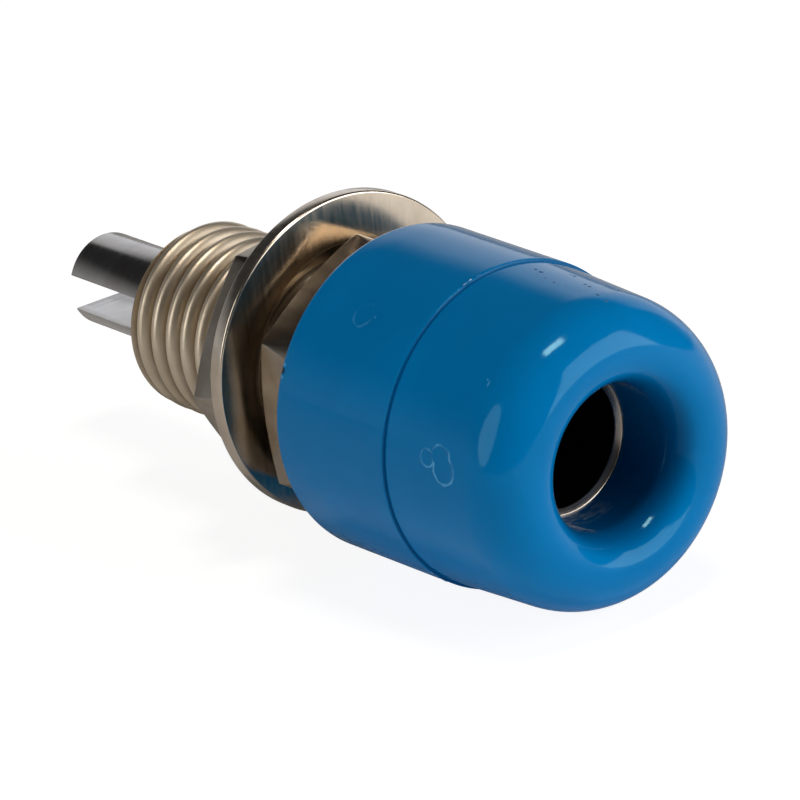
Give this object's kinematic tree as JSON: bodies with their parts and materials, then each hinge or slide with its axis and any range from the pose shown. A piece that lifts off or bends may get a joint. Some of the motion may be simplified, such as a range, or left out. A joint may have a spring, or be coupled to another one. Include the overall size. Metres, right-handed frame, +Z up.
{
  "type": "banana socket",
  "caption": "Insulated panel socket for a banana plug: moulded blue head, plated contact body with threaded shank and slotted solder tail, nuts and a washer.",
  "frame": {"origin": "centre of the head's rear face, where the socket seats on the panel", "axes": "-Y along the socket's axis towards the nose, where the plug goes in and out; +Z up, square to the flat of the solder slot"},
  "size_m": [0.01, 0.0254, 0.0104],
  "materials": {
    "blue_plastic": "moulded, semi-gloss",
    "plated_contact": "nickel plated, turned",
    "plated_nut": "nickel plated, drawn flats",
    "plated_washer": "nickel plated, polished"
  },
  "bodies": {
    "socket": {"insulating_head": "blue_plastic", "contact_body": "plated_contact"},
    "washer": {"washer": "plated_washer"},
    "front_nut": {"front_nut": "plated_nut"},
    "rear_nut": {"rear_nut": "plated_nut"}
  },
  "joints": [
    {"name": "washer_travel", "type": "slide", "parent": "socket", "child": "washer", "axis": [0, 1, 0], "range_m": [0, 0.0048]},
    {"name": "rear_nut_turn", "type": "hinge", "parent": "washer", "child": "rear_nut", "pos_m": [0, 0.00408, 0], "axis": [0, 1, 0], "range_deg": [0, 2304]},
    {"name": "front_nut_turn", "type": "hinge", "parent": "washer", "child": "front_nut", "pos_m": [0, 0.00105, 0], "axis": [0, 1, 0], "range_deg": [0, 2304]}
  ],
  "couplings": [
    {"joint": "rear_nut_turn", "follows": "washer_travel", "rad_per_m": 8377.6},
    {"joint": "front_nut_turn", "follows": "washer_travel", "rad_per_m": 8377.6}
  ]
}
